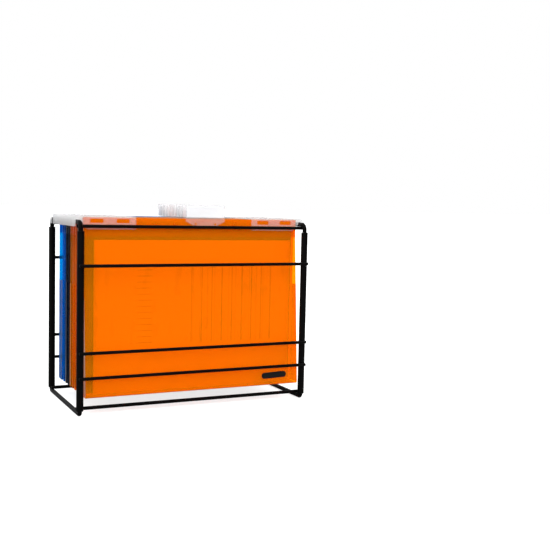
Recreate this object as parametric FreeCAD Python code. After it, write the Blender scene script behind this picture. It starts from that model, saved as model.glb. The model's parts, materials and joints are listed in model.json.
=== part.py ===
"""Desktop rack for A4 hanging files, with ten polypropylene files hung in it.

Frame: X runs across the rack, Y from its front to its back, Z up from the table.
The origin is the middle of the rack's footprint. All sizes are in millimetres.
"""
import FreeCAD, Part
import math
import os

from FreeCAD import Vector

# ---- Rack: overall sizes, between the centres of posts and rails ----
rackWidth = 335.0
rackDepth = 171.0
railHeight = 260.9

# ---- Rack: stock ----
postDiameter = 9.7
railWireDiameter = 6.2
rodDiameter = 4.6
bottomRodDiameter = 5.0
plugClearance = 0.05
weldGap = 0.02

# ---- Rack: bends, plugged ends and rod places ----
hangBendRadius = 8.0
footBendRadius = 4.2
bendSlices = 3
postTopDrop = 3.6
postFootGap = 0.3
plugDepth = 25.0
upperRodHeight = 203.25
middleRodHeight = 86.2
lowerRodHeight = 52.2
rodOverhang = 3.0
edgeRodSetback = 10.5

# ---- Files: the folded sheet ----
fileCount = 10
sheetThickness = 0.4
fileThickness = 6.0
frontFileThickness = 7.0
rearFileThickness = 20.0
folderSideGap = 7.5
folderFloorGap = 24.0
hemHeight = 26.0
gussetHeight = 148.0
creaseWidth = 1.8
frontFileSplay = 17.0
holePitch = 30.0
holeCount = 5
holeDiameter = 3.0
holeSides = 8
holeDrop = 7.6

# ---- Files: hook clips on the rails ----
clipLength = 87.0
clipHeight = 18.0
clipThickness = 0.8
clipLip = 0.7
clipLipHeight = 3.4
clipAboveFold = 1.7
clipGrip = 0.05
crownHeight = 5.0
railSideClearance = 0.35
railSeatClearance = 0.2
tongueWidth = 3.4
tongueDrop = 14.2
notchStraight = 2.8
notchFlare = 9.0
windowWidth = 18.5
windowHeight = 5.6
windowDrop = 3.6
windowSpacing = 36.5
windowInset = 9.0
ribWidth = 1.4
ribHeight = 0.5
ribInset = 2.0
ribBelowWindow = 0.9
hookEndGap = 1.6

# ---- Files: tab holder and its label slip ----
tabCentre = 15.0
tabWidth = 59.0
tabHeight = 19.0
tabWall = 0.6
tabSlot = 0.5
tabFoot = 1.2
tabFootGap = 0.35
tabSkirt = 4.0
tabPlateDrop = 10.6
tabPlateBottomWidth = 33.0
pegClearance = 0.1
pegStandOut = 0.5
labelThickness = 0.25
labelMargin = 0.8

# ---- Sheets of paper filed in the front and the rear file ----
paperSideMargin = 11.7
paperOffset = 3.9
paperTopGap = 30.7
paperFloorGap = 0.3
frontPaperStack = 3.0
rearPaperStack = 11.0
rearPaperGap = 1.2

# ---- Sizes that follow from the ones above ----
postBore = railWireDiameter + 2 * plugClearance
postTop = railHeight - hangBendRadius - postTopDrop
footRailHeight = railWireDiameter / 2
postFoot = footRailHeight + footBendRadius + postFootGap
rodLength = rackWidth + 2 * rodOverhang
frontPostY = -rackDepth / 2
edgeRodY = rackDepth / 2 - edgeRodSetback
outerRodY = (rackDepth + postDiameter + rodDiameter) / 2 + weldGap
topRodHeight = railHeight - (railWireDiameter + rodDiameter) / 2 - weldGap
bottomRodHeight = footRailHeight + (railWireDiameter + bottomRodDiameter) / 2 + weldGap

hookSeat = railHeight + railWireDiameter / 2 + railSeatClearance
clipTop = hookSeat + crownHeight
clipOuterEnd = rackWidth / 2 + railWireDiameter / 2 + railSideClearance + tongueWidth
folderTop = clipTop - clipAboveFold
folderWidth = rackWidth - 2 * folderSideGap
holeHeight = folderTop - holeDrop
paperWidth = folderWidth - 2 * paperSideMargin

# The files share the straight of the rails, with equal gaps from clip to clip.
thicknesses = [frontFileThickness] + [fileThickness] * (fileCount - 2) + [rearFileThickness]
firstClipY = frontPostY + edgeRodSetback + rodDiameter / 2 + hookEndGap
usedLength = sum(thicknesses) + 2 * clipThickness * fileCount
fileGap = (-2 * firstClipY - usedLength) / (fileCount - 1)


def save(nodeName, shape):
    """Writes one named piece, or one group of like pieces, as a STEP file."""
    shape.exportStep("parts/" + nodeName + ".step")


def box(lowX, highX, lowY, highY, lowZ, highZ):
    return Part.makeBox(highX - lowX, highY - lowY, highZ - lowZ, Vector(lowX, lowY, lowZ))


def prismAlongX(points, lowX, highX):
    """A prism along X whose section is the polygon of (y, z) points."""
    corners = [Vector(lowX, y, z) for y, z in points]
    face = Part.Face(Part.makePolygon(corners + corners[:1]))
    return face.extrude(Vector(highX - lowX, 0, 0))


def prismAlongY(points, lowY, highY):
    """A prism along Y whose section is the polygon of (x, z) points."""
    corners = [Vector(x, lowY, z) for x, z in points]
    face = Part.Face(Part.makePolygon(corners + corners[:1]))
    return face.extrude(Vector(0, highY - lowY, 0))


def pinAlongY(x, z, diameter, lowY, highY):
    """A small pin or punch along Y. It has flat sides, because dozens of them repeat."""
    turn = 2 * math.pi / holeSides
    reach = diameter / 2 / math.cos(turn / 2)
    points = []
    for index in range(holeSides):
        angle = (index + 0.5) * turn
        points.append((x + reach * math.cos(angle), z + reach * math.sin(angle)))
    return prismAlongY(points, lowY, highY)


def edgesAlong(shape, direction, places, tolerance=0.01):
    """The straight edges along a direction that pass through one of the places."""
    found = []
    for edge in shape.Edges:
        if len(edge.Vertexes) < 2:
            continue
        run = edge.Vertexes[-1].Point - edge.Vertexes[0].Point
        if run.Length < tolerance or run.cross(direction).Length > tolerance * run.Length:
            continue
        for place in places:
            offset = edge.Vertexes[0].Point - place
            if offset.cross(direction).Length < tolerance:
                found.append(edge)
                break
    return found


# ---- Rack ----

def post(x, y):
    """An upright tube, open at both ends for the plugged ends of the rails."""
    height = postTop - postFoot
    tube = Part.makeCylinder(postDiameter / 2, height, Vector(x, y, postFoot))
    bore = Part.makeCylinder(postBore / 2, height, Vector(x, y, postFoot))
    return tube.cut(bore)


def bentRail(x, legEnd, railLevel, bendRadius):
    """A wire rail from front to back, both ends bent over into the posts.

    Each bend is drawn as a few short mitred lengths around the bend's arc. The rail is drawn
    in the plane X = 0 and then placed, so that both sides get the same solid.
    """
    towardsLeg = 1 if legEnd > railLevel else -1
    turn = math.pi / 2 / bendSlices
    reach = bendRadius / math.cos(turn / 2)
    frontHalf = [Vector(0, frontPostY, legEnd)]
    for index in range(bendSlices):
        angle = (index + 0.5) * turn
        along = frontPostY + bendRadius - reach * math.cos(angle)
        height = railLevel + towardsLeg * (bendRadius - reach * math.sin(angle))
        frontHalf.append(Vector(0, along, height))
    rearHalf = [Vector(0, -point.y, point.z) for point in reversed(frontHalf)]
    section = Part.Wire(Part.makeCircle(railWireDiameter / 2, frontHalf[0], Vector(0, 0, 1)))
    rail = Part.makePolygon(frontHalf + rearHalf).makePipeShell([section], True, True, 1)
    return rail.translated(Vector(x, 0, 0))


def crossRod(y, z, diameter, length):
    """A straight rod across the rack, welded to what it crosses."""
    return Part.makeCylinder(diameter / 2, length, Vector(-length / 2, y, z), Vector(1, 0, 0))


def buildRack():
    for endName, y in (("front", frontPostY), ("rear", -frontPostY)):
        side = 1 if y > 0 else -1
        for sideName, x in (("left", -rackWidth / 2), ("right", rackWidth / 2)):
            save(f"post_{endName}_{sideName}", post(x, y))
        edgeRodLength = rackWidth + railWireDiameter
        save(f"{endName}_top_rod",
             crossRod(side * edgeRodY, topRodHeight, rodDiameter, edgeRodLength))
        save(f"{endName}_bottom_rod",
             crossRod(side * edgeRodY, bottomRodHeight, bottomRodDiameter, edgeRodLength))
        rodHeights = {"upper": upperRodHeight, "middle": middleRodHeight, "lower": lowerRodHeight}
        for rodName, height in rodHeights.items():
            save(f"{endName}_{rodName}_rod", crossRod(side * outerRodY, height, rodDiameter, rodLength))
    for sideName, x in (("left", -rackWidth / 2), ("right", rackWidth / 2)):
        save(f"hang_rail_{sideName}",
             bentRail(x, postTop - plugDepth, railHeight, hangBendRadius))
        save(f"foot_rail_{sideName}",
             bentRail(x, postFoot + plugDepth, footRailHeight, footBendRadius))


# ---- Files ----

def pocketProfile(frontY, rearY, splay, inset, lowZ, highZ):
    """Section of a file: two leaves from a fold, the front one splayed below its hem."""
    hemFoot = folderTop - hemHeight
    slope = splay / (hemFoot - folderFloorGap)
    innerFront = frontY + inset
    if highZ <= hemFoot:
        topFront = innerFront - slope * (hemFoot - highZ)
        upper = [(topFront, highZ)]
    else:
        upper = [(innerFront, hemFoot), (innerFront, highZ)]
    lowFront = innerFront - slope * (hemFoot - lowZ)
    return [(lowFront, lowZ)] + upper + [(rearY - inset, highZ), (rearY - inset, lowZ)]


def creaseFold(solid, profile, lowX, width):
    """Bevels the two long bottom edges of a pocket, where the sheet is scored to fold."""
    corners = [Vector(lowX, *profile[0]), Vector(lowX, *profile[-1])]
    return solid.makeChamfer(width, edgesAlong(solid, Vector(1, 0, 0), corners))


def folder(frontY, rearY, splay):
    """A sheet folded into a pocket: hemmed at the top, gusseted at the lower sides."""
    halfWidth = folderWidth / 2
    wall = sheetThickness
    floor = folderFloorGap
    hemFoot = folderTop - hemHeight
    gussetTop = floor + gussetHeight
    spare = 1.0

    outerProfile = pocketProfile(frontY, rearY, splay, 0, floor, folderTop)
    outer = prismAlongX(outerProfile, -halfWidth, halfWidth)
    outer = creaseFold(outer, outerProfile, -halfWidth, creaseWidth)

    innerProfile = pocketProfile(frontY, rearY, splay, wall, floor + wall, hemFoot)
    inner = prismAlongX(innerProfile, -halfWidth + wall, halfWidth - wall)
    innerCrease = creaseWidth - wall * (2 - 2 ** 0.5)
    inner = creaseFold(inner, innerProfile, -halfWidth + wall, innerCrease)

    sideProfile = pocketProfile(frontY, rearY, splay, wall, gussetTop, hemFoot)
    openSides = prismAlongX(sideProfile, -halfWidth - spare, halfWidth + spare)
    mouth = box(-halfWidth - spare, halfWidth + spare, frontY + 2 * wall, rearY - 2 * wall,
                hemFoot - wall, folderTop + spare)
    sheet = outer.cut([inner, openSides, mouth])

    firstHole = -holePitch * (holeCount - 1) / 2
    holes = [pinAlongY(firstHole + index * holePitch, holeHeight, holeDiameter,
                       frontY - spare, frontY + 2 * wall + spare) for index in range(holeCount)]
    return sheet.cut(holes)


def hookClip(side, outerY, facing):
    """One clip: a ribbed, windowed plate outside the leaf, a lip over its edge and a rail hook.

    side is -1 at the left rail and 1 at the right one. facing is -1 on a front leaf and 1 on
    a rear leaf, and outerY is the outer face of that leaf.
    """
    outerEnd = clipOuterEnd
    innerEnd = outerEnd - clipLength
    bottom = clipTop - clipHeight
    notchOuter = outerEnd - tongueWidth
    notchInner = notchOuter - railWireDiameter - 2 * railSideClearance
    flareTop = hookSeat - notchStraight
    outline = [
        (innerEnd, bottom),
        (notchInner - notchFlare, bottom),
        (notchInner, flareTop),
        (notchInner, hookSeat),
        (notchOuter, hookSeat),
        (notchOuter, clipTop - tongueDrop),
        (outerEnd, clipTop - tongueDrop),
        (outerEnd, clipTop),
        (innerEnd, clipTop),
    ]
    lowY = outerY if facing > 0 else outerY - clipThickness
    plate = prismAlongY([(side * x, z) for x, z in outline], lowY, lowY + clipThickness)

    for index in range(2):
        low = innerEnd + windowInset + index * windowSpacing
        ends = sorted((side * low, side * (low + windowWidth)))
        plate = plate.cut(box(
            ends[0], ends[1], lowY, lowY + clipThickness,
            clipTop - windowDrop - windowHeight, clipTop - windowDrop))

    ribTop = clipTop - windowDrop - windowHeight - ribBelowWindow
    ribSpan = sorted((side * (innerEnd + ribInset), side * (notchInner - notchFlare / 2)))
    ribDepth = sorted((outerY, outerY + facing * (clipThickness + ribHeight)))
    rib = box(ribSpan[0], ribSpan[1], ribDepth[0], ribDepth[1], ribTop - ribWidth, ribTop)

    hem = 2 * sheetThickness + 2 * clipGrip
    lipEnds = sorted((side * innerEnd, side * folderWidth / 2))
    bridgeEnds = sorted((outerY, outerY - facing * (hem + clipLip)))
    bridge = box(lipEnds[0], lipEnds[1], bridgeEnds[0], bridgeEnds[1],
                 folderTop + clipGrip, clipTop)
    lipSpan = sorted((outerY - facing * hem, outerY - facing * (hem + clipLip)))
    lip = box(lipEnds[0], lipEnds[1], lipSpan[0], lipSpan[1], clipTop - clipLipHeight, clipTop)
    return plate.fuse([rib, bridge, lip]).removeSplitter()


def tabHolder(outerY):
    """A clear sleeve for the label, on a tapered plate that pegs into two hem holes."""
    left = tabCentre - tabWidth / 2
    right = tabCentre + tabWidth / 2
    base = folderTop + tabFootGap
    sleeveDepth = 2 * tabWall + tabSlot
    sleeveFront = outerY + tabWall - sleeveDepth
    sleeve = box(left, right, sleeveFront, outerY + tabWall, base, base + tabHeight)
    slot = box(left, right, outerY - tabSlot, outerY, base + tabFoot, base + tabHeight - tabWall)

    plateBottom = folderTop - tabPlateDrop
    plateOutline = [
        (tabCentre - tabPlateBottomWidth / 2, plateBottom),
        (tabCentre + tabPlateBottomWidth / 2, plateBottom),
        (right, folderTop - tabSkirt),
        (right, base + tabFoot),
        (left, base + tabFoot),
        (left, folderTop - tabSkirt),
    ]
    plate = prismAlongY(plateOutline, outerY - clipThickness, outerY)

    pegs = [pinAlongY(x, holeHeight, holeDiameter - 2 * pegClearance,
                      outerY - clipThickness, outerY + 2 * sheetThickness + pegStandOut)
            for x in (tabCentre - holePitch / 2, tabCentre + holePitch / 2)]
    return sleeve.cut(slot).fuse([plate] + pegs).removeSplitter()


def labelSlip(outerY):
    """The paper slip inside the tab holder's sleeve."""
    halfWidth = tabWidth / 2 - labelMargin
    middle = outerY - tabSlot / 2
    low = folderTop + tabFootGap + tabFoot + (tabSlot - labelThickness) / 2
    high = folderTop + tabFootGap + tabHeight - tabWall - (tabSlot - labelThickness) / 2
    return box(tabCentre - halfWidth, tabCentre + halfWidth,
               middle - labelThickness / 2, middle + labelThickness / 2, low, high)


def paperStack(frontY, thickness):
    """A4 sheets on their long edge, standing on the fold of a file."""
    floor = folderFloorGap + sheetThickness + paperFloorGap
    return box(paperOffset - paperWidth / 2, paperOffset + paperWidth / 2,
               frontY, frontY + thickness, floor, folderTop - paperTopGap)


def buildFiles():
    clipY = firstClipY
    for index, thickness in enumerate(thicknesses):
        name = f"file_{index + 1:02d}"
        frontY = clipY + clipThickness
        rearY = frontY + thickness
        splay = frontFileSplay if index == 0 else 0
        save(name + "_folder", folder(frontY, rearY, splay))
        clips = [hookClip(side, y, facing)
                 for y, facing in ((frontY, -1), (rearY, 1)) for side in (-1, 1)]
        save(name + "_hook_clips", Part.makeCompound(clips))
        save(name + "_tab_holder", tabHolder(frontY))
        save(name + "_label_slip", labelSlip(frontY))
        if index == 0:
            middle = (frontY + rearY) / 2
            save(name + "_papers", paperStack(middle - frontPaperStack / 2, frontPaperStack))
        if index == fileCount - 1:
            stackFront = rearY - 2 * sheetThickness - clipLip - rearPaperGap - rearPaperStack
            save(name + "_papers", paperStack(stackFront, rearPaperStack))
        clipY = rearY + clipThickness + fileGap


os.makedirs("parts", exist_ok=True)
buildRack()
buildFiles()
print(f"gap between neighbouring files {fileGap:.2f} mm, folder {folderWidth:.1f} mm wide")
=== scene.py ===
import json
import math
import random

import bmesh
import bpy
from mathutils import Matrix, Vector

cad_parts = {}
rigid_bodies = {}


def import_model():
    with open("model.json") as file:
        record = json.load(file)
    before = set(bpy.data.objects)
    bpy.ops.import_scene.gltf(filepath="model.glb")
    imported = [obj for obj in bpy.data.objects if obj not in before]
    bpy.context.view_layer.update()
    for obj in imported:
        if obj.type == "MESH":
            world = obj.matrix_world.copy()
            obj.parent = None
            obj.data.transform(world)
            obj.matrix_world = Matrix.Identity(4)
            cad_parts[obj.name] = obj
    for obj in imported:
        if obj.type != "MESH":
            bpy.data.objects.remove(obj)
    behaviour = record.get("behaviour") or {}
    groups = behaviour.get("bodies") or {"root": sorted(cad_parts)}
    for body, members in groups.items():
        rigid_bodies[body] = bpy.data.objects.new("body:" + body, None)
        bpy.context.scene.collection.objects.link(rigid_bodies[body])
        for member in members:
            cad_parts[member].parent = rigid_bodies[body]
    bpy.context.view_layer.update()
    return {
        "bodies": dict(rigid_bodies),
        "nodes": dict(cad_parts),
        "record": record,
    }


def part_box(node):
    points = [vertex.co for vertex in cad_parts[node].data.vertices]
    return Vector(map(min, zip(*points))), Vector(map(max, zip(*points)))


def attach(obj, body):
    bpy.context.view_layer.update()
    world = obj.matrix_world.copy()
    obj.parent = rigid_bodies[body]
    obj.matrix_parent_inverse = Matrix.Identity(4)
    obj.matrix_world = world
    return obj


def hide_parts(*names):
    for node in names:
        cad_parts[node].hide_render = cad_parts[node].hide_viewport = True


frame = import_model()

mm = 0.001
fileNames = sorted(name for name in frame["bodies"]
                   if name.startswith("file_") and name[-2:].isdigit())
slotOf = {row["node"]: row["material_slot"] for row in frame["record"]["subparts"]}
print(f"frame loaded: {len(frame['nodes'])} nodes, {len(fileNames)} hanging files")


class Wire:
    # one socket of a node tree, so that maths on sockets reads as arithmetic
    def __init__(self, tree, socket):
        self.tree = tree
        self.socket = socket

    def maths(self, operation, first, second):
        return self.tree.add("ShaderNodeMath", {"operation": operation}, {0: first, 1: second})

    def __add__(self, other):
        return self.maths("ADD", self, other)

    def __radd__(self, other):
        return self.maths("ADD", other, self)

    def __sub__(self, other):
        return self.maths("SUBTRACT", self, other)

    def __rsub__(self, other):
        return self.maths("SUBTRACT", other, self)

    def __mul__(self, other):
        return self.maths("MULTIPLY", self, other)

    def __rmul__(self, other):
        return self.maths("MULTIPLY", other, self)

    def __lt__(self, other):
        return self.maths("LESS_THAN", self, other)

    def __gt__(self, other):
        return self.maths("GREATER_THAN", self, other)

    def remainder(self, step):
        return self.maths("FLOORED_MODULO", self, step)

    def size(self):
        return self.maths("ABSOLUTE", self, 0.0)


class Tree:
    # a node tree that gets one node per call
    def __init__(self, nodeTree):
        self.nodeTree = nodeTree

    def add(self, kind, settings=None, sockets=None, output=0):
        node = self.nodeTree.nodes.new(kind)
        for name, value in (settings or {}).items():
            setattr(node, name, value)
        for key, value in (sockets or {}).items():
            if isinstance(value, Wire):
                self.nodeTree.links.new(value.socket, node.inputs[key])
            else:
                node.inputs[key].default_value = value
        return Wire(self, node.outputs[output]) if len(node.outputs) else node


sheenSettings = {"facing": 0.001, "glancing": 0.8}      # share of light that the surface mirrors


class Finish(Tree):
    # a material and its shader nodes
    def __init__(self, name):
        self.material = bpy.data.materials.new(name)
        self.material.use_nodes = True
        self.material.node_tree.nodes.clear()
        super().__init__(self.material.node_tree)
        self.place = self.add("ShaderNodeTexCoord", output="Object")

    def axes(self):
        parts = self.add("ShaderNodeSeparateXYZ", sockets={0: self.place})
        outputs = parts.socket.node.outputs
        return [Wire(self, outputs[index]) for index in range(3)]

    def stretched(self, scale):
        return self.add("ShaderNodeMapping", sockets={"Vector": self.place, "Scale": scale})

    def noise(self, scale, detail=2.0, where=None):
        return self.add("ShaderNodeTexNoise", {"normalize": True}, {
            "Vector": where or self.place, "Scale": scale, "Detail": detail}, output="Fac")

    def blend(self, amount, first, second):
        # a colour between two colours
        return self.add("ShaderNodeMix", {"data_type": "RGBA"}, {
            "Factor": amount, 6: first, 7: second}, output=2)

    def bump(self, height, strength, distance):
        return self.add("ShaderNodeBump", sockets={
            "Height": height, "Strength": strength, "Distance": distance})

    def sheened(self, shader, roughness, relief):
        # the shader under a smooth surface that shines more at a glancing angle
        s = sheenSettings
        slant = self.add("ShaderNodeLayerWeight", sockets={"Blend": 0.5}, output="Facing")
        gloss = self.add("ShaderNodeBsdfPrincipled", sockets={
            "Base Color": grey(1), "Metallic": 1.0, "Roughness": roughness, "Normal": relief})
        return self.surface(self.add("ShaderNodeMixShader", sockets={
            0: s["facing"] + s["glancing"] * slant * slant * slant, 1: shader, 2: gloss}))

    def surface(self, shader):
        self.add("ShaderNodeOutputMaterial", sockets={"Surface": shader})
        return self.material


class Growth(Tree):
    # a geometry tree with named inputs, used once per piece and then turned into a mesh
    def __init__(self, name):
        super().__init__(bpy.data.node_groups.new(name, "GeometryNodeTree"))
        for way in ("INPUT", "OUTPUT"):
            self.nodeTree.interface.new_socket(
                "Geometry", in_out=way, socket_type="NodeSocketGeometry")
        self.entry = self.nodeTree.nodes.new("NodeGroupInput")

    def ask(self, name, kind="Float"):
        self.nodeTree.interface.new_socket(
            name, in_out="INPUT", socket_type="NodeSocket" + kind)
        return Wire(self, self.entry.outputs[name])

    def given(self):
        return Wire(self, self.entry.outputs["Geometry"])

    def close(self, shape):
        # ends the tree: real geometry, with the material that the modifier names
        material = self.ask("Material", "Material")
        real = self.add("GeometryNodeRealizeInstances", sockets={0: shape})
        finished = self.add("GeometryNodeSetMaterial", sockets={
            "Geometry": real, "Material": material})
        self.add("NodeGroupOutput", sockets={0: finished})
        return self


def colour(red, green, blue):
    return (red, green, blue, 1.0)


def grey(level):
    return colour(level, level, level)


def newPiece(name, mesh):
    piece = bpy.data.objects.new(name, mesh)
    bpy.context.scene.collection.objects.link(piece)
    return piece


def meshFrom(name, points, edges=(), faces=()):
    mesh = bpy.data.meshes.new(name)
    mesh.from_pydata(points, edges, faces)
    return mesh


def applied(piece):
    # the piece with its modifiers made part of its mesh
    evaluated = piece.evaluated_get(bpy.context.evaluated_depsgraph_get())
    result = bpy.data.meshes.new_from_object(evaluated)
    piece.modifiers.clear()
    piece.data = result
    return piece


def grown(name, mesh, growth, values):
    # runs a geometry tree on a mesh and keeps the result as a plain mesh
    piece = newPiece(name, mesh)
    modifier = piece.modifiers.new("growth", "NODES")
    modifier.node_group = growth.nodeTree
    for item in growth.nodeTree.interface.items_tree:
        if item.in_out == "INPUT" and item.name in values:
            modifier[item.identifier] = values[item.name]
    return applied(piece)


def settle(piece, body, material, slot, *nodes, smoothAngle=35):
    # the last steps that every piece shares
    mesh = piece.data
    if not mesh.materials:
        mesh.materials.append(material)
    mesh.shade_smooth()
    mesh.set_sharp_from_angle(angle=math.radians(smoothAngle))
    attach(piece, body)
    if nodes:
        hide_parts(*nodes)
    return piece


def turned(name, profile, segments, closed):
    # revolves (radius, height) points around Z: a closed profile is a ring, an open one has poles
    work = bmesh.new()
    rings = []
    for radius, height in profile:
        if radius < 1e-9:
            rings.append([work.verts.new((0, 0, height))])
            continue
        ring = []
        for index in range(segments):
            angle = 2 * math.pi * index / segments
            place = (radius * math.cos(angle), radius * math.sin(angle), height)
            ring.append(work.verts.new(place))
        rings.append(ring)
    above = rings[1:] + rings[:1] if closed else rings[1:]
    for low, high in zip(rings, above):
        for index in range(segments):
            after = (index + 1) % segments
            corners = [low[index % len(low)], low[after % len(low)],
                       high[after % len(high)], high[index % len(high)]]
            work.faces.new(list(dict.fromkeys(corners)))
    bmesh.ops.recalc_face_normals(work, faces=work.faces)
    mesh = bpy.data.meshes.new(name)
    work.to_mesh(mesh)
    work.free()
    return mesh


def roundedEnd(radius, end, inwards, corner, steps=4):
    # the quarter turn from a rod's side to its flat end, as (radius, height) points
    points = []
    for index in range(steps + 1):
        angle = math.pi / 2 * index / steps
        points.append((radius - corner + corner * math.cos(angle),
                       end + inwards * corner * (1 - math.sin(angle))))
    return points


def filletedPath(corners, steps):
    # a path through (y, z, radius) corners, with each corner rounded by an arc of its radius
    path = []
    for index, (y, z, radius) in enumerate(corners):
        here = Vector((y, z))
        if index in (0, len(corners) - 1) or radius == 0:
            path.append(here)
            continue
        before = (Vector(corners[index - 1][:2]) - here).normalized()
        after = (Vector(corners[index + 1][:2]) - here).normalized()
        halfAngle = before.angle(after) / 2
        reach = radius / math.tan(halfAngle)
        centre = here + (before + after).normalized() * radius / math.sin(halfAngle)
        start = here + before * reach - centre
        end = here + after * reach - centre
        turn = start.angle_signed(end)
        for step in range(steps + 1):
            swing = Matrix.Rotation(-turn * step / steps, 2)
            path.append(centre + swing @ start)
    return path


coatSettings = {
    "dark": colour(0.001, 0.0008, 0.0009), "light": colour(0.003, 0.0024, 0.0024),
    "peelScale": 700.0, "cloudScale": 18.0, "bump": 0.25, "relief": 0.2 * mm,
    "roughness": 0.3, "peelRoughness": 0.16, "cloudRoughness": 0.08, "specular": 0.075,
}


def powderCoat():
    s = coatSettings
    finish = Finish("blackPowderCoat")
    peel = finish.noise(s["peelScale"], 3.0)
    cloud = finish.noise(s["cloudScale"], 2.0)
    return finish.surface(finish.add("ShaderNodeBsdfPrincipled", sockets={
        "Base Color": finish.blend(cloud, s["dark"], s["light"]),
        "Roughness": s["roughness"] + s["peelRoughness"] * peel + s["cloudRoughness"] * cloud,
        "Specular IOR Level": s["specular"],
        "Normal": finish.bump(peel, s["bump"], s["relief"])}))


# clear is the share of light that passes straight through, glow the share of the rest that
# scatters through, and tint the colour of what is seen through one surface
sheetSettings = {
    "orange_polypropylene": {
        "name": "orangeSheet", "deep": colour(0.95, 0.49, 0.0), "bright": colour(1.0, 0.55, 0.0),
        "tint": colour(1.0, 0.5, 0.01), "clear": 0.79, "glow": 0.22},
    "green_polypropylene": {
        "name": "greenSheet", "deep": colour(0.006, 0.04, 0.016),
        "bright": colour(0.012, 0.065, 0.026),
        "tint": colour(0.2, 0.5, 0.3), "clear": 0.3, "glow": 0.2},
    "navy_polypropylene": {
        "name": "navySheet", "deep": colour(0.003, 0.008, 0.022),
        "bright": colour(0.005, 0.012, 0.036),
        "tint": colour(0.1, 0.2, 0.5), "clear": 0.25, "glow": 0.2},
    "blue_polypropylene": {
        "name": "blueSheet", "deep": colour(0.0, 0.2, 0.5), "bright": colour(0.003, 0.26, 0.62),
        "tint": colour(0.05, 0.6, 1.0), "clear": 0.6, "glow": 0.3},
}
sheetSurface = {
    "grainScale": 2600.0, "flowScale": 5.0, "flowStretch": (1.0, 1.0, 4.0),
    "flowRelief": 0.6, "bump": 0.12, "relief": 0.2 * mm,
    "roughness": 0.24, "grainRoughness": 0.1, "flowRoughness": 0.06,
    "bodyRoughness": 0.6, "bodySpecular": 0.1,
}


def sheetPlastic(name, deep, bright, tint, clear, glow):
    # coloured polypropylene sheet: a satin sheen over tinted, slightly cloudy plastic
    s = sheetSurface
    finish = Finish(name)
    grain = finish.noise(s["grainScale"], 1.0)
    flow = finish.noise(s["flowScale"], 2.0, finish.stretched(s["flowStretch"]))
    body = finish.blend(flow, deep, bright)
    relief = finish.bump(grain + flow * s["flowRelief"], s["bump"], s["relief"])
    solid = finish.add("ShaderNodeBsdfPrincipled", sockets={
        "Base Color": body, "Roughness": s["bodyRoughness"],
        "Specular IOR Level": s["bodySpecular"], "Normal": relief})
    lit = finish.add("ShaderNodeBsdfTranslucent", sockets={"Color": bright})
    through = finish.add("ShaderNodeBsdfTransparent", sockets={"Color": tint})
    cloudy = finish.add("ShaderNodeMixShader", sockets={0: glow, 1: solid, 2: lit})
    seen = finish.add("ShaderNodeMixShader", sockets={0: clear, 1: cloudy, 2: through})
    roughness = s["roughness"] + s["grainRoughness"] * grain + s["flowRoughness"] * flow
    return finish.sheened(seen, roughness, relief)


clearSettings = {
    "clips": {"name": "clipPlastic", "clear": 0.8, "haze": 0.35, "deep": 0.76, "pale": 0.88,
              "milky": (161.5 * mm, 0.24)},
    "tab": {"name": "tabPlastic", "clear": 0.85, "haze": 0.3, "deep": 0.84, "pale": 0.95},
}
clearSurface = {
    "speckScale": 1800.0, "flowScale": 90.0, "flowStretch": (0.25, 1.0, 1.0),
    "flowRelief": 2.0, "bump": 0.1, "relief": 0.2 * mm,
    "roughness": 0.24, "flowRoughness": 0.14, "specular": 0.5,
    "blueShare": 1.01, "scattered": 0.9, "through": 0.98,
}


def clearPlastic(name, clear, haze, deep, pale, milky=None):
    # natural polypropylene with faint flow marks, less clear beyond a distance from the middle
    s = clearSurface
    finish = Finish(name)
    flow = finish.noise(s["flowScale"], 3.0, finish.stretched(s["flowStretch"]))
    speck = finish.noise(s["speckScale"], 1.0)
    body = finish.blend(flow, colour(deep, deep, deep * s["blueShare"]),
                        colour(pale, pale, pale * s["blueShare"]))
    if milky:
        reach, less = milky
        clear = clear - (finish.axes()[0].size() > reach) * less
    solid = finish.add("ShaderNodeBsdfPrincipled", sockets={
        "Base Color": body,
        "Roughness": s["roughness"] + s["flowRoughness"] * flow,
        "Specular IOR Level": s["specular"],
        "Normal": finish.bump(speck + flow * s["flowRelief"], s["bump"], s["relief"])})
    lit = finish.add("ShaderNodeBsdfTranslucent", sockets={"Color": grey(s["scattered"])})
    through = finish.add("ShaderNodeBsdfTransparent", sockets={"Color": grey(s["through"])})
    cloudy = finish.add("ShaderNodeMixShader", sockets={0: haze, 1: solid, 2: lit})
    return finish.surface(finish.add("ShaderNodeMixShader", sockets={
        0: clear, 1: cloudy, 2: through}))


labelSettings = {
    "dull": colour(0.84, 0.84, 0.86), "bright": colour(0.92, 0.92, 0.94),
    "fibreScale": 1500.0, "bump": 0.2, "relief": 0.1 * mm,
    "roughness": 0.72, "fibreRoughness": 0.15,
    "divisions": (12, 4),
}


def labelPaper():
    s = labelSettings
    finish = Finish("labelPaper")
    fibre = finish.noise(s["fibreScale"], 4.0)
    return finish.surface(finish.add("ShaderNodeBsdfPrincipled", sockets={
        "Base Color": finish.blend(fibre, s["dull"], s["bright"]),
        "Roughness": s["roughness"] + s["fibreRoughness"] * fibre,
        "Normal": finish.bump(fibre, s["bump"], s["relief"])}))


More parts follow.
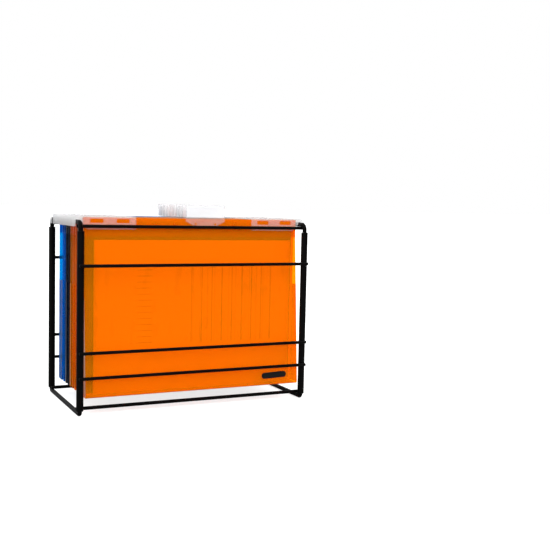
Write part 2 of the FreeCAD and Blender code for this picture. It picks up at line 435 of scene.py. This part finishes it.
# rules run down the sheet and lines across it, each between two places along X
tableSettings = {
    "column": 15.6 * mm, "columnRule": 1.5 * mm, "columnInk": 0.42,
    "narrow": 11.0 * mm, "narrowRule": 0.9 * mm, "narrowInk": 0.26,
    "row": 8.5 * mm, "rowRule": 1.4 * mm, "rowInk": 0.3,
    "head": 34.0 * mm, "foot": 66.0 * mm,
    "rules": (-8.0 * mm, 122.0 * mm),
    "lines": (-84.0 * mm, -62.0 * mm),
    "smudgeLevel": 0.6, "smudgeInk": 0.1,
    "faintScale": (38.0, 1.0, 9.0), "smudgeScale": (60.0, 1.0, 22.0), "least": 0.5,
    "blank": colour(0.9, 0.9, 0.88), "ink": colour(0.03, 0.03, 0.035),
    "fibreScale": 1200.0, "bump": 0.15, "relief": 0.1 * mm,
    "roughness": 0.75, "fibreRoughness": 0.15,
}


def filedPaper(low, high):
    # office paper with the faint rules of a printed table
    s = tableSettings
    finish = Finish("filedPaper")
    across, _, up = finish.axes()
    fibre = finish.noise(s["fibreScale"], 4.0)
    columns = (across - low.x).remainder(s["column"]) < s["columnRule"]
    narrow = (across - low.x).remainder(s["narrow"]) < s["narrowRule"]
    rows = (up - low.z).remainder(s["row"]) < s["rowRule"]
    faint = finish.noise(1.0, 1.0, finish.stretched(s["faintScale"]))
    smudge = finish.noise(1.0, 2.0, finish.stretched(s["smudgeScale"]))
    ruled = columns * s["columnInk"] + narrow * s["narrowInk"]
    rules = (across > s["rules"][0]) * (across < s["rules"][1]) * ruled
    lines = (across > s["lines"][0]) * (across < s["lines"][1]) * rows * s["rowInk"]
    smudges = (smudge > s["smudgeLevel"]) * s["smudgeInk"]
    inside = (up < high.z - s["head"]) * (up > low.z + s["foot"])
    printed = inside * (rules + lines + smudges) * (s["least"] + faint)
    return finish.surface(finish.add("ShaderNodeBsdfPrincipled", sockets={
        "Base Color": finish.blend(printed, s["blank"], s["ink"]),
        "Roughness": s["roughness"] + s["fibreRoughness"] * fibre,
        "Normal": finish.bump(fibre, s["bump"], s["relief"])}))


sheetFinishes = {slot: sheetPlastic(**values) for slot, values in sheetSettings.items()}
coatFinish = powderCoat()
clipFinish = clearPlastic(**clearSettings["clips"])
tabFinish = clearPlastic(**clearSettings["tab"])
labelFinish = labelPaper()
paperFinish = filedPaper(*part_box("file_01_papers"))
print("finishes made")


postSettings = {"wall": 1.7 * mm, "rim": 0.45 * mm, "segments": 56}


def buildPost(node):
    low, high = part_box(node)
    middle = (low + high) / 2
    outer = (high.x - low.x) / 2
    bore = outer - postSettings["wall"]
    rim = postSettings["rim"]
    profile = roundedEnd(outer, low.z, 1, rim)[::-1] + roundedEnd(outer, high.z, -1, rim)
    profile += [(bore, high.z), (bore, low.z)]
    piece = newPiece(node + "_tube", turned(node, profile, postSettings["segments"], True))
    piece.data.transform(Matrix.Translation((middle.x, middle.y, 0)))
    return settle(piece, "rack", coatFinish, slotOf[node], node)


railSettings = {
    "hangBend": 8.0 * mm, "footBend": 4.2 * mm, "arcSteps": 14, "aroundSteps": 28, "smooth": 50,
}


def wireGrowth():
    # a round wire along the given route, with every corner bent to one radius
    growth = Growth("bentWire")
    bend = growth.ask("Bend Radius")
    radius = growth.ask("Wire Radius")
    arcSteps = growth.ask("Arc Steps", "Int")
    aroundSteps = growth.ask("Around Steps", "Int")
    route = growth.add("GeometryNodeMeshToCurve", sockets={0: growth.given()})
    rounded = growth.add("GeometryNodeFilletCurve", {"mode": "POLY"}, {
        "Curve": route, "Count": arcSteps, "Radius": bend, "Limit Radius": True})
    circle = growth.add("GeometryNodeCurvePrimitiveCircle", sockets={
        "Resolution": aroundSteps, "Radius": radius})
    wire = growth.add("GeometryNodeCurveToMesh", sockets={
        "Curve": rounded, "Profile Curve": circle, "Fill Caps": True})
    return growth.close(wire)


bentWire = wireGrowth()


def buildRail(node, hanging):
    low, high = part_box(node)
    radius = (high.x - low.x) / 2
    x = (low.x + high.x) / 2
    front = low.y + radius
    legEnd = low.z if hanging else high.z
    level = high.z - radius if hanging else low.z + radius
    points = [(x, front, legEnd), (x, front, level), (x, -front, level), (x, -front, legEnd)]
    route = meshFrom(node, points, [(0, 1), (1, 2), (2, 3)])
    piece = grown(node + "_wire", route, bentWire, {
        "Bend Radius": railSettings["hangBend" if hanging else "footBend"],
        "Wire Radius": radius,
        "Arc Steps": railSettings["arcSteps"],
        "Around Steps": railSettings["aroundSteps"],
        "Material": coatFinish})
    return settle(piece, "rack", coatFinish, slotOf[node], node,
                  smoothAngle=railSettings["smooth"])


rodSettings = {"corner": 0.7 * mm, "segments": 28}


def buildRod(node):
    low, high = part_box(node)
    middle = (low + high) / 2
    radius = min(high.z - low.z, high.y - low.y) / 2
    corner = rodSettings["corner"]
    length = high.x - low.x
    profile = [(0, 0)] + roundedEnd(radius, 0, 1, corner)[::-1]
    profile += roundedEnd(radius, length, -1, corner) + [(0, length)]
    piece = newPiece(node + "_bar", turned(node, profile, rodSettings["segments"], False))
    alongX = Matrix.Rotation(math.pi / 2, 4, "Y")
    piece.data.transform(Matrix.Translation((low.x, middle.y, middle.z)) @ alongX)
    return settle(piece, "rack", coatFinish, slotOf[node], node)


weldSettings = {
    "length": 2.7 * mm, "height": 1.15 * mm, "unevenness": 0.18, "seed": 7,
    "segments": 20, "rings": 12,
}


def weldGrowth():
    # a small bead of weld at each given point
    growth = Growth("weldBeads")
    length = growth.ask("Length")
    height = growth.ask("Height")
    unevenness = growth.ask("Unevenness")
    seed = growth.ask("Seed", "Int")
    bead = growth.add("GeometryNodeMeshUVSphere", sockets={
        "Segments": weldSettings["segments"], "Rings": weldSettings["rings"], "Radius": 1.0})
    vary = growth.add("FunctionNodeRandomValue", {"data_type": "FLOAT"}, {
        2: 1 - unevenness, 3: 1 + unevenness, "Seed": seed}, output=1)
    shape = growth.add("ShaderNodeCombineXYZ", sockets={
        0: length * vary, 1: height * vary, 2: length * vary})
    beads = growth.add("GeometryNodeInstanceOnPoints", sockets={
        "Points": growth.given(), "Instance": bead, "Scale": shape})
    return growth.close(beads)


weldBeads = weldGrowth()


def buildWelds():
    # beads where the cross rods meet the posts
    beads = []
    for end in ("front", "rear"):
        for side in ("left", "right"):
            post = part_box(f"post_{end}_{side}")
            x = (post[0].x + post[1].x) / 2
            face = post[0].y if end == "front" else post[1].y
            for rod in ("upper", "middle", "lower"):
                low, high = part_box(f"{end}_{rod}_rod")
                beads.append((x, face, (low.z + high.z) / 2))
    mesh = meshFrom("rodWelds", beads)
    piece = grown("rack_rod_welds", mesh, weldBeads, {
        "Length": weldSettings["length"],
        "Height": weldSettings["height"],
        "Unevenness": weldSettings["unevenness"],
        "Seed": weldSettings["seed"],
        "Material": coatFinish})
    return settle(piece, "rack", coatFinish, "black_powder_coat")


for end in ("front", "rear"):
    for side in ("left", "right"):
        buildPost(f"post_{end}_{side}")
    for rod in ("top", "upper", "middle", "lower", "bottom"):
        buildRod(f"{end}_{rod}_rod")
for side in ("left", "right"):
    buildRail(f"hang_rail_{side}", True)
    buildRail(f"foot_rail_{side}", False)
buildWelds()
print("rack built")


folderSettings = {
    "sheet": 0.4 * mm,
    "slimming": 0.98,                    # keeps the sheet just inside its own box
    "hem": 26.0 * mm, "hemGap": 0.03 * mm,
    "crease": 1.8 * mm, "splayBend": 56.0 * mm, "leastSplay": 1.0 * mm,
    "clipStand": 1.3 * mm,
    "columns": 44, "rowStep": 9.0 * mm, "arcSteps": 5,
    "wave": 0.5 * mm,
    "waves": ((2.1, 0.0, 0.6), (3.7, 2.2, 0.4)),      # half turns, lean and share of each wave
    "smooth": 40, "firstSeed": 20,
}


def leafFaces(name):
    # where the outer faces of a file's two leaves stand, under its clips
    low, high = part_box(name + "_hook_clips")
    return low.y + folderSettings["clipStand"], high.y - folderSettings["clipStand"]


def stepped(path, longest):
    # adds points to the path's long runs
    result = [path[0]]
    for start, end in zip(path, path[1:]):
        count = max(1, math.ceil((end - start).length / longest))
        for index in range(1, count + 1):
            result.append(start.lerp(end, index / count))
    return result


def sheetPath(name):
    # the middle of the sheet in section: hem, front leaf, floor, rear leaf, hem
    s = folderSettings
    low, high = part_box(name + "_folder")
    front, rear = leafFaces(name)
    half = s["sheet"] / 2
    foot = high.z - s["hem"]
    top = high.z - half
    inner = s["sheet"] + s["hemGap"]
    fold = inner / 2 * s["slimming"]
    corners = [
        (front + half + inner, foot, 0),
        (front + half + inner, top, fold),
        (front + half, top, fold),
    ]
    if front - low.y > s["leastSplay"]:
        corners.append((front + half, foot, s["splayBend"]))
    corners += [
        (low.y + half, low.z + half, s["crease"]),
        (rear - half, low.z + half, s["crease"]),
        (rear - half, top, fold),
        (rear - half - inner, top, fold),
        (rear - half - inner, foot, 0),
    ]
    return stepped(filletedPath(corners, s["arcSteps"]), s["rowStep"])


def gridFaces(columns, rows, first=0, flipped=False):
    # the faces of a grid of points that runs row by row up each column
    faces = []
    for column in range(columns):
        for row in range(rows - 1):
            corner = first + column * rows + row
            face = (corner, corner + 1, corner + rows + 1, corner + rows)
            faces.append(face[::-1] if flipped else face)
    return faces


def crossing(run, height):
    # where a leaf stands at a height, from the points of its run
    for start, end in zip(run, run[1:]):
        if min(start.y, end.y) <= height <= max(start.y, end.y) and start.y != end.y:
            return start.x + (end.x - start.x) * (height - start.y) / (end.y - start.y)
    return run[-1].x


gussetSettings = {
    "height": 148.0 * mm, "columns": 6, "row": 12.0 * mm,
    "deep": 5.2 * mm, "shallow": 0.8 * mm,
    "deepFiles": ("file_02", "file_04", "file_05", "file_07", "file_09"),
    "bulge": 1.3,                        # 1 is a sharp pleat, more is rounder
    "foot": 0.15, "opening": 2.5,        # share of the depth at the floor, and its rise
}


def lowestOf(path):
    return min(range(len(path)), key=lambda index: path[index].y)


def gusset(name, path, side):
    # the pleat between the two leaves at one side, as columns of points from front to rear
    s = gussetSettings
    low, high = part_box(name + "_folder")
    bottom = low.z + folderSettings["crease"]
    rise = low.z + s["height"] - bottom
    floor = lowestOf(path)
    front, rear = path[:floor + 1], path[floor:]
    depth = s["deep" if name in s["deepFiles"] else "shallow"]
    edge = (low.x, high.x)[side]
    inwards = (1, -1)[side]
    rows = math.ceil(rise / s["row"])
    points = []
    for column in range(s["columns"] + 1):
        share = column / s["columns"]
        fold = 1 - abs(2 * share - 1) ** s["bulge"]
        for row in range(rows + 1):
            z = bottom + rise * row / rows
            flare = min(1.0, s["opening"] * row / rows + s["foot"])
            y = crossing(front, z) * (1 - share) + crossing(rear, z) * share
            points.append((edge + inwards * depth * fold * flare, y, z))
    return points


def turnedOutwards(piece):
    # faces every closed shell of the piece outwards
    work = bmesh.new()
    work.from_mesh(piece.data)
    bmesh.ops.recalc_face_normals(work, faces=work.faces)
    work.to_mesh(piece.data)
    work.free()


holeSettings = {
    "count": 5, "pitch": 30.0 * mm, "drop": 7.6 * mm, "diameter": 3.0 * mm,
    "segments": 20, "punch": 3.0 * mm,
}


def punched(piece, name):
    # the hem holes that take the pegs of a tab holder
    s = holeSettings
    low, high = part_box(name + "_folder")
    front = leafFaces(name)[0]
    radius = s["diameter"] / 2
    alongY = Matrix.Rotation(math.pi / 2, 4, "X")
    work = bmesh.new()
    for index in range(s["count"]):
        x = (index - (s["count"] - 1) / 2) * s["pitch"]
        place = Matrix.Translation((x, front + folderSettings["sheet"], high.z - s["drop"]))
        bmesh.ops.create_cone(work, cap_ends=True, segments=s["segments"], radius1=radius,
                              radius2=radius, depth=s["punch"], matrix=place @ alongY)
    punches = newPiece("punches", bpy.data.meshes.new("punches"))
    work.to_mesh(punches.data)
    work.free()
    cut = piece.modifiers.new("holes", "BOOLEAN")
    cut.operation = "DIFFERENCE"
    cut.solver = "EXACT"
    cut.object = punches
    applied(piece)
    bpy.data.objects.remove(punches)


def buildFolder(name, seed):
    s = folderSettings
    low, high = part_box(name + "_folder")
    path = sheetPath(name)
    chance = random.Random(seed)
    phases = [chance.uniform(0, 2 * math.pi) for _ in s["waves"]]
    foot = high.z - s["hem"]

    def waving(share, height):
        # how far the sheet stands out of its plane, at a share of the width
        fall = min(1.0, max(0.0, (foot - height) / (foot - low.z)))
        wave = 0
        for (halfTurns, lean, part), phase in zip(s["waves"], phases):
            wave += math.sin(halfTurns * math.pi * share + lean * fall + phase) * part
        return math.sin(math.pi * fall) * s["wave"] * wave

    points = []
    columns = s["columns"]
    for column in range(columns + 1):
        share = column / columns
        x = low.x + (high.x - low.x) * share
        for place in path:
            points.append((x, place.x + waving(share, place.y), place.y))
    faces = gridFaces(columns, len(path))
    for side in (0, 1):
        pleat = gusset(name, path, side)
        steps = gussetSettings["columns"]
        faces += gridFaces(steps, len(pleat) // (steps + 1), len(points), side == 0)
        for x, y, z in pleat:
            points.append((x, y + waving(side, z), z))
    piece = newPiece(name + "_sheet", meshFrom(name, points, (), faces))
    solid = piece.modifiers.new("thickness", "SOLIDIFY")
    solid.thickness = s["sheet"] * s["slimming"]
    solid.offset = 0
    applied(piece)
    punched(piece, name)
    turnedOutwards(piece)
    slot = slotOf[name + "_folder"]
    return settle(piece, name, sheetFinishes[slot], slot, name + "_folder",
                  smoothAngle=s["smooth"])


for index, name in enumerate(fileNames):
    buildFolder(name, folderSettings["firstSeed"] + index)
print("folders built")


badgeSettings = {
    "along": 121.4 * mm, "height": 38.7 * mm, "length": 40.0 * mm, "width": 9.0 * mm,
    "thickness": 0.12 * mm, "tilt": 1.8, "steps": 14,
    "dark": grey(0.004), "light": colour(0.009, 0.008, 0.008),
    "grainScale": 900.0, "bump": 0.15, "relief": 0.1 * mm,
    "roughness": 0.35, "grainRoughness": 0.2, "specular": 0.2,
}


def printedBadge():
    # the dark ink of a bare badge
    s = badgeSettings
    finish = Finish("badgeInk")
    grain = finish.noise(s["grainScale"], 2.0)
    return finish.surface(finish.add("ShaderNodeBsdfPrincipled", sockets={
        "Base Color": finish.blend(grain, s["dark"], s["light"]),
        "Roughness": s["roughness"] + s["grainRoughness"] * grain,
        "Specular IOR Level": s["specular"],
        "Normal": finish.bump(grain, s["bump"], s["relief"])}))


def buildBadge(name):
    # a bare rounded badge that lies on the front leaf and follows its slope
    s = badgeSettings
    path = sheetPath(name)
    run = path[:lowestOf(path) + 1]
    radius = s["width"] / 2
    straight = s["length"] / 2 - radius
    outline = []
    for end, turn in ((1, -math.pi / 2), (-1, math.pi / 2)):
        for step in range(s["steps"] + 1):
            angle = turn + math.pi * step / s["steps"]
            outline.append((end * straight + radius * math.cos(angle), radius * math.sin(angle)))
    tilt = math.radians(s["tilt"])
    work = bmesh.new()
    corners = []
    for along, up in outline:
        x = s["along"] + along * math.cos(tilt) - up * math.sin(tilt)
        z = s["height"] + along * math.sin(tilt) + up * math.cos(tilt)
        y = crossing(run, z) - folderSettings["sheet"] / 2 - folderSettings["wave"]
        corners.append(work.verts.new((x, y, z)))
    face = work.faces.new(corners)
    extruded = bmesh.ops.extrude_face_region(work, geom=[face])
    moved = [part for part in extruded["geom"] if isinstance(part, bmesh.types.BMVert)]
    bmesh.ops.translate(work, verts=moved, vec=(0, -s["thickness"], 0))
    bmesh.ops.recalc_face_normals(work, faces=work.faces)
    piece = newPiece(name + "_badge", bpy.data.meshes.new(name + "_badge"))
    work.to_mesh(piece.data)
    work.free()
    return settle(piece, name, printedBadge(), "black_powder_coat")


buildBadge(fileNames[0])
print("badge built")


mouldSettings = {
    "corner": 0.7 * mm, "cornerSegments": 4,
    "edge": 0.14 * mm, "edgeSegments": 2,
    "joined": 0.02 * mm, "speck": 0.002 * mm, "flat": math.radians(2),
    "sharp": 0.5,                        # edges that turn more than this, in radians, are softened
    "straight": 0.95,                    # how squarely a corner's edge runs through the plate
}


def isSharp(edge):
    return edge.is_manifold and edge.calc_face_angle(0) > mouldSettings["sharp"]


def isCorner(edge):
    # an edge that runs straight through a plate, at a corner of its outline
    run = edge.verts[1].co - edge.verts[0].co
    return isSharp(edge) and abs(run.y) > mouldSettings["straight"] * run.length


def soften(work, edges, width, segments):
    bmesh.ops.bevel(work, geom=edges, offset=width, segments=segments, profile=0.5,
                    affect="EDGES", clamp_overlap=True)


def moulded(node, name):
    # a copy of a moulded part with rounded corners and softened edges
    s = mouldSettings
    work = bmesh.new()
    work.from_mesh(frame["nodes"][node].data)
    bmesh.ops.remove_doubles(work, verts=work.verts, dist=s["joined"])
    bmesh.ops.dissolve_limit(work, angle_limit=s["flat"], verts=work.verts, edges=work.edges)
    soften(work, [edge for edge in work.edges if isCorner(edge)], s["corner"], s["cornerSegments"])
    soften(work, [edge for edge in work.edges if isSharp(edge)], s["edge"], s["edgeSegments"])
    bmesh.ops.dissolve_degenerate(work, dist=s["speck"], edges=work.edges)
    mesh = bpy.data.meshes.new(name)
    work.to_mesh(mesh)
    work.free()
    return newPiece(name, mesh)


for name in fileNames:
    node = name + "_hook_clips"
    settle(moulded(node, name + "_clips"), name, clipFinish, slotOf[node], node)
    node = name + "_tab_holder"
    settle(moulded(node, name + "_tab"), name, tabFinish, slotOf[node], node)
print("clips and tab holders built")


paperSettings = {
    "sheet": 0.1 * mm, "pitch": 0.125 * mm, "stray": 0.7 * mm, "seed": 3, "divisions": (3, 3),
}


def stackGrowth():
    # sheets of paper one behind the other, each a little out of line
    growth = Growth("paperStack")
    count = growth.ask("Count", "Int")
    pitch = growth.ask("Pitch")
    stray = growth.ask("Stray")
    seed = growth.ask("Seed", "Int")
    step = growth.add("ShaderNodeCombineXYZ", sockets={1: pitch})
    line = growth.add("GeometryNodeMeshLine", {"mode": "OFFSET"}, {"Count": count, "Offset": step})
    shift = growth.add("FunctionNodeRandomValue", {"data_type": "FLOAT"}, {
        2: stray * -1.0, 3: stray, "Seed": seed}, output=1)
    aside = growth.add("ShaderNodeCombineXYZ", sockets={0: shift})
    placed = growth.add("GeometryNodeSetPosition", sockets={"Geometry": line, "Offset": aside})
    sheets = growth.add("GeometryNodeInstanceOnPoints", sockets={
        "Points": placed, "Instance": growth.given()})
    return growth.close(sheets)


paperStack = stackGrowth()


def sheetMesh(name, low, high, divisions):
    # a thin flat sheet between two corners, with its faces divided
    work = bmesh.new()
    columns, rows = divisions
    grid = bmesh.ops.create_grid(work, x_segments=columns, y_segments=rows, size=0.5)
    width, thickness, height = high - low
    for vert in grid["verts"]:
        x, z = vert.co.x, vert.co.y
        vert.co = Vector((low.x + (x + 0.5) * width, low.y, low.z + (z + 0.5) * height))
    extruded = bmesh.ops.extrude_face_region(work, geom=list(work.faces))
    lifted = [part for part in extruded["geom"] if isinstance(part, bmesh.types.BMVert)]
    bmesh.ops.translate(work, verts=lifted, vec=(0, thickness, 0))
    bmesh.ops.recalc_face_normals(work, faces=work.faces)
    mesh = bpy.data.meshes.new(name)
    work.to_mesh(mesh)
    work.free()
    return mesh


def buildPapers(node):
    s = paperSettings
    low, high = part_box(node)
    one = Vector((high.x, low.y + s["sheet"], high.z))
    count = round((high.y - low.y) / s["pitch"])
    sheet = sheetMesh(node, low, one, s["divisions"])
    piece = grown(node + "_sheets", sheet, paperStack, {
        "Count": count, "Pitch": s["pitch"], "Stray": s["stray"], "Seed": s["seed"],
        "Material": paperFinish})
    return settle(piece, node.replace("_papers", "_sheets"), paperFinish, slotOf[node], node)


for name in fileNames:
    node = name + "_label_slip"
    low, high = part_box(node)
    label = newPiece(name + "_label", sheetMesh(node, low, high, labelSettings["divisions"]))
    settle(label, name, labelFinish, slotOf[node], node)
    if name + "_papers" in frame["nodes"]:
        buildPapers(name + "_papers")
print("paper built")


def tilted(azimuth, fall, roll):
    # the camera's axes: azimuth from +Y towards +X, fall below the horizon, roll clockwise
    a, p, r = (math.radians(value) for value in (azimuth, fall, roll))
    ahead = Vector((math.sin(a) * math.cos(p), math.cos(a) * math.cos(p), -math.sin(p)))
    right = Vector((math.cos(a), -math.sin(a), 0))
    up = right.cross(ahead)
    turnedRight = right * math.cos(r) + up * math.sin(r)
    turnedUp = up * math.cos(r) - right * math.sin(r)
    return Matrix((turnedRight, turnedUp, -ahead)).transposed()


cameraSettings = {
    "place": (-463.8 * mm, -1263.9 * mm, 291.75 * mm),
    "azimuth": 26.36, "fall": 4.56, "roll": 1.32,
    "lens": 58.84, "sensor": 36.0, "nearest": 10.0 * mm,
}


def buildCamera():
    s = cameraSettings
    lens = bpy.data.cameras.new("camera")
    lens.lens = s["lens"]
    lens.sensor_width = s["sensor"]
    lens.clip_start = s["nearest"]
    camera = bpy.data.objects.new("camera", lens)
    axes = tilted(s["azimuth"], s["fall"], s["roll"])
    camera.matrix_world = Matrix.Translation(s["place"]) @ axes.to_4x4()
    bpy.context.scene.collection.objects.link(camera)
    bpy.context.scene.camera = camera


lightSettings = {
    "key": {"azimuth": 168.0, "height": 46.0, "spread": 100.0, "strength": 4.45},
    "rear": {"azimuth": 330.0, "height": 60.0, "spread": 60.0, "strength": 0.8},
}


def buildLights():
    # soft distant lights, each by its azimuth from +Y towards +X and its height above the floor
    for name, s in lightSettings.items():
        lamp = bpy.data.lights.new(name, "SUN")
        lamp.angle = math.radians(s["spread"])
        lamp.energy = s["strength"]
        azimuth, height = math.radians(s["azimuth"]), math.radians(s["height"])
        towards = Vector((math.sin(azimuth) * math.cos(height),
                          math.cos(azimuth) * math.cos(height), math.sin(height)))
        light = bpy.data.objects.new(name, lamp)
        light.matrix_world = towards.to_track_quat("Z", "Y").to_matrix().to_4x4()
        light.visible_glossy = False
        bpy.context.scene.collection.objects.link(light)


roomSettings = {
    "brightSide": (-0.7, 0.7, 0.6), "darkest": -0.7, "brightest": 0.4,
    "dim": 0.05, "bright": 0.8, "seen": 1.0,
}


def buildRoom():
    # a room that is bright behind, above and to the left, and that the camera sees as white
    s = roomSettings
    world = bpy.data.worlds.new("studio")
    world.use_nodes = True
    world.node_tree.nodes.clear()
    sky = Tree(world.node_tree)
    viewed = sky.add("ShaderNodeLightPath", output="Is Camera Ray")
    towards = sky.add("ShaderNodeTexCoord", output="Generated")
    lit = sky.add("ShaderNodeVectorMath", {"operation": "DOT_PRODUCT"}, {
        0: towards, 1: s["brightSide"]}, output="Value")
    level = sky.add("ShaderNodeMapRange", {"interpolation_type": "SMOOTHSTEP"}, {
        "Value": lit, "From Min": s["darkest"], "From Max": s["brightest"],
        "To Min": s["dim"], "To Max": s["bright"]})
    even = sky.add("ShaderNodeBackground", sockets={"Color": grey(1), "Strength": level})
    white = sky.add("ShaderNodeBackground", sockets={"Color": grey(1), "Strength": s["seen"]})
    mixed = sky.add("ShaderNodeMixShader", sockets={0: viewed, 1: even, 2: white})
    sky.add("ShaderNodeOutputWorld", sockets={"Surface": mixed})
    bpy.context.scene.world = world
    bpy.context.scene.view_settings.view_transform = "Standard"
    bpy.context.scene.cycles.transparent_max_bounces = 32       # many clear sheets in a row


floorSettings = {
    "reach": 30.0, "dull": grey(0.42), "pale": grey(0.45), "hazeScale": 3.0,
    "glow": 0.76, "bounce": grey(0.22),
}


def buildFloor():
    # a pale floor, darker in what it sends back to the rack than it looks
    s = floorSettings
    reach = s["reach"]
    corners = [(-reach, -reach, 0), (reach, -reach, 0), (reach, reach, 0), (-reach, reach, 0)]
    floor = newPiece("floor", meshFrom("floor", corners, (), [(0, 1, 2, 3)]))
    finish = Finish("paleFloor")
    haze = finish.noise(s["hazeScale"], 2.0)
    pale = finish.add("ShaderNodeBsdfDiffuse", sockets={
        "Color": finish.blend(haze, s["dull"], s["pale"])})
    glow = finish.add("ShaderNodeEmission", sockets={"Color": grey(1), "Strength": s["glow"]})
    bounce = finish.add("ShaderNodeBsdfDiffuse", sockets={"Color": s["bounce"]})
    bright = finish.add("ShaderNodeAddShader", sockets={0: pale, 1: glow})
    viewed = finish.add("ShaderNodeLightPath", output="Is Camera Ray")
    floor.data.materials.append(finish.surface(finish.add("ShaderNodeMixShader", sockets={
        0: viewed, 1: bounce, 2: bright})))


buildCamera()
buildLights()
buildRoom()
buildFloor()
print("studio built")
